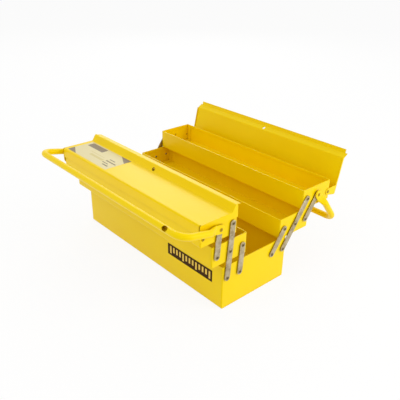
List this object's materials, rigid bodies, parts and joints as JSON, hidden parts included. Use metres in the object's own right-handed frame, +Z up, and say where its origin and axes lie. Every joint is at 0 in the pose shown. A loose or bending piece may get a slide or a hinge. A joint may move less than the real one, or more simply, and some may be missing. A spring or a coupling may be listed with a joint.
{
  "type": "cantilever tool box",
  "caption": "Sheet-steel cantilever tool box: trays on riveted links swing out from a central well, each side with a hinged lid and a tubular carrying handle.",
  "frame": {"origin": "centre of the base's flat underside", "axes": "+X along the box towards its right end, +Y from the front stack towards the rear stack, +Z up"},
  "size_m": [0.563, 0.5341, 0.265],
  "materials": {
    "paint": "gloss yellow powder coat",
    "link_steel": "satin, galvanised",
    "rivet_steel": "satin, zinc plated",
    "label": "printed, satin",
    "band": "printed, satin"
  },
  "bodies": {
    "base": {"base_trough": "paint", "base_end_left": "paint", "base_end_right": "paint", "base_rivets": "rivet_steel", "base_washers": "rivet_steel", "base_label": "band"},
    "front_long_link_left": {"front_long_link_left": "link_steel"},
    "front_long_link_right": {"front_long_link_right": "link_steel"},
    "front_inner_link_left": {"front_inner_link_left": "link_steel"},
    "front_inner_link_right": {"front_inner_link_right": "link_steel"},
    "front_outer_link_left": {"front_outer_link_left": "link_steel"},
    "front_outer_link_right": {"front_outer_link_right": "link_steel"},
    "front_lower_tray": {"front_lower_trough": "paint", "front_lower_end_left": "paint", "front_lower_end_right": "paint", "front_lower_rivets": "rivet_steel", "front_lower_washers": "rivet_steel"},
    "front_upper_tray": {"front_upper_trough": "paint", "front_upper_end_left": "paint", "front_upper_end_right": "paint", "front_upper_rivets": "rivet_steel", "front_upper_washers": "rivet_steel", "front_handle_rivets": "rivet_steel", "front_hinge_rivets": "rivet_steel"},
    "front_lid": {"front_lid": "paint", "front_lid_label": "label"},
    "front_handle": {"front_handle": "paint"},
    "rear_long_link_left": {"rear_long_link_left": "link_steel"},
    "rear_long_link_right": {"rear_long_link_right": "link_steel"},
    "rear_inner_link_left": {"rear_inner_link_left": "link_steel"},
    "rear_inner_link_right": {"rear_inner_link_right": "link_steel"},
    "rear_outer_link_left": {"rear_outer_link_left": "link_steel"},
    "rear_outer_link_right": {"rear_outer_link_right": "link_steel"},
    "rear_lower_tray": {"rear_lower_trough": "paint", "rear_lower_end_left": "paint", "rear_lower_end_right": "paint", "rear_lower_rivets": "rivet_steel", "rear_lower_washers": "rivet_steel"},
    "rear_upper_tray": {"rear_upper_trough": "paint", "rear_upper_end_left": "paint", "rear_upper_end_right": "paint", "rear_upper_rivets": "rivet_steel", "rear_upper_washers": "rivet_steel", "rear_handle_rivets": "rivet_steel", "rear_hinge_rivets": "rivet_steel"},
    "rear_lid": {"rear_lid": "paint"},
    "rear_handle": {"rear_handle": "paint"}
  },
  "joints": [
    {"name": "front_fold", "type": "hinge", "parent": "base", "child": "front_long_link_left", "pos_m": [0, -0.0885, 0.078], "axis": [1, 0, 0], "range_deg": [-30.7, 40.3]},
    {"name": "front_long_link_right_pivot", "type": "hinge", "parent": "base", "child": "front_long_link_right", "pos_m": [0, -0.0885, 0.078], "axis": [1, 0, 0], "range_deg": [-30.7, 40.3]},
    {"name": "front_inner_link_left_pivot", "type": "hinge", "parent": "base", "child": "front_inner_link_left", "pos_m": [0, -0.0515, 0.078], "axis": [1, 0, 0], "range_deg": [-30.7, 40.3]},
    {"name": "front_inner_link_right_pivot", "type": "hinge", "parent": "base", "child": "front_inner_link_right", "pos_m": [0, -0.0515, 0.078], "axis": [1, 0, 0], "range_deg": [-30.7, 40.3]},
    {"name": "front_lower_tray_pivot", "type": "hinge", "parent": "front_long_link_left", "child": "front_lower_tray", "pos_m": [0, -0.08314, 0.14178], "axis": [1, 0, 0], "range_deg": [-40.3, 30.7]},
    {"name": "front_upper_tray_pivot", "type": "hinge", "parent": "front_long_link_left", "child": "front_upper_tray", "pos_m": [0, -0.07779, 0.20555], "axis": [1, 0, 0], "range_deg": [-40.3, 30.7]},
    {"name": "front_outer_link_left_pivot", "type": "hinge", "parent": "front_lower_tray", "child": "front_outer_link_left", "pos_m": [0, -0.12014, 0.14178], "axis": [1, 0, 0], "range_deg": [-30.7, 40.3]},
    {"name": "front_outer_link_right_pivot", "type": "hinge", "parent": "front_lower_tray", "child": "front_outer_link_right", "pos_m": [0, -0.12014, 0.14178], "axis": [1, 0, 0], "range_deg": [-30.7, 40.3]},
    {"name": "front_lid_hinge", "type": "hinge", "parent": "front_upper_tray", "child": "front_lid", "pos_m": [0, -0.15762, 0.19794], "axis": [1, 0, 0], "range_deg": [0, 103]},
    {"name": "front_handle_pivot", "type": "hinge", "parent": "front_upper_tray", "child": "front_handle", "pos_m": [0, -0.11479, 0.20555], "axis": [1, 0, 0], "range_deg": [-97, 69]},
    {"name": "rear_fold", "type": "hinge", "parent": "base", "child": "rear_long_link_left", "pos_m": [0, 0.0885, 0.078], "axis": [-1, 0, 0], "range_deg": [-71, 0]},
    {"name": "rear_long_link_right_pivot", "type": "hinge", "parent": "base", "child": "rear_long_link_right", "pos_m": [0, 0.0885, 0.078], "axis": [-1, 0, 0], "range_deg": [-71, 0]},
    {"name": "rear_inner_link_left_pivot", "type": "hinge", "parent": "base", "child": "rear_inner_link_left", "pos_m": [0, 0.0515, 0.078], "axis": [-1, 0, 0], "range_deg": [-71, 0]},
    {"name": "rear_inner_link_right_pivot", "type": "hinge", "parent": "base", "child": "rear_inner_link_right", "pos_m": [0, 0.0515, 0.078], "axis": [-1, 0, 0], "range_deg": [-71, 0]},
    {"name": "rear_lower_tray_pivot", "type": "hinge", "parent": "rear_long_link_left", "child": "rear_lower_tray", "pos_m": [0, 0.12566, 0.1301], "axis": [-1, 0, 0], "range_deg": [0, 71]},
    {"name": "rear_upper_tray_pivot", "type": "hinge", "parent": "rear_long_link_left", "child": "rear_upper_tray", "pos_m": [0, 0.16283, 0.18221], "axis": [-1, 0, 0], "range_deg": [0, 71]},
    {"name": "rear_outer_link_left_pivot", "type": "hinge", "parent": "rear_lower_tray", "child": "rear_outer_link_left", "pos_m": [0, 0.16267, 0.1301], "axis": [-1, 0, 0], "range_deg": [-71, 0]},
    {"name": "rear_outer_link_right_pivot", "type": "hinge", "parent": "rear_lower_tray", "child": "rear_outer_link_right", "pos_m": [0, 0.16267, 0.1301], "axis": [-1, 0, 0], "range_deg": [-71, 0]},
    {"name": "rear_lid_hinge", "type": "hinge", "parent": "rear_upper_tray", "child": "rear_lid", "pos_m": [0, 0.24266, 0.1746], "axis": [-1, 0, 0], "range_deg": [-103, 0]},
    {"name": "rear_handle_pivot", "type": "hinge", "parent": "rear_upper_tray", "child": "rear_handle", "pos_m": [0, 0.19983, 0.18221], "axis": [-1, 0, 0], "range_deg": [-62, 5]}
  ],
  "couplings": [
    {"joint": "front_long_link_right_pivot", "follows": "front_fold", "ratio": 1},
    {"joint": "front_inner_link_left_pivot", "follows": "front_fold", "ratio": 1},
    {"joint": "front_inner_link_right_pivot", "follows": "front_fold", "ratio": 1},
    {"joint": "front_lower_tray_pivot", "follows": "front_fold", "ratio": -1},
    {"joint": "front_upper_tray_pivot", "follows": "front_fold", "ratio": -1},
    {"joint": "front_outer_link_left_pivot", "follows": "front_fold", "ratio": 1},
    {"joint": "front_outer_link_right_pivot", "follows": "front_fold", "ratio": 1},
    {"joint": "rear_long_link_right_pivot", "follows": "rear_fold", "ratio": 1},
    {"joint": "rear_inner_link_left_pivot", "follows": "rear_fold", "ratio": 1},
    {"joint": "rear_inner_link_right_pivot", "follows": "rear_fold", "ratio": 1},
    {"joint": "rear_lower_tray_pivot", "follows": "rear_fold", "ratio": -1},
    {"joint": "rear_upper_tray_pivot", "follows": "rear_fold", "ratio": -1},
    {"joint": "rear_outer_link_left_pivot", "follows": "rear_fold", "ratio": 1},
    {"joint": "rear_outer_link_right_pivot", "follows": "rear_fold", "ratio": 1}
  ]
}
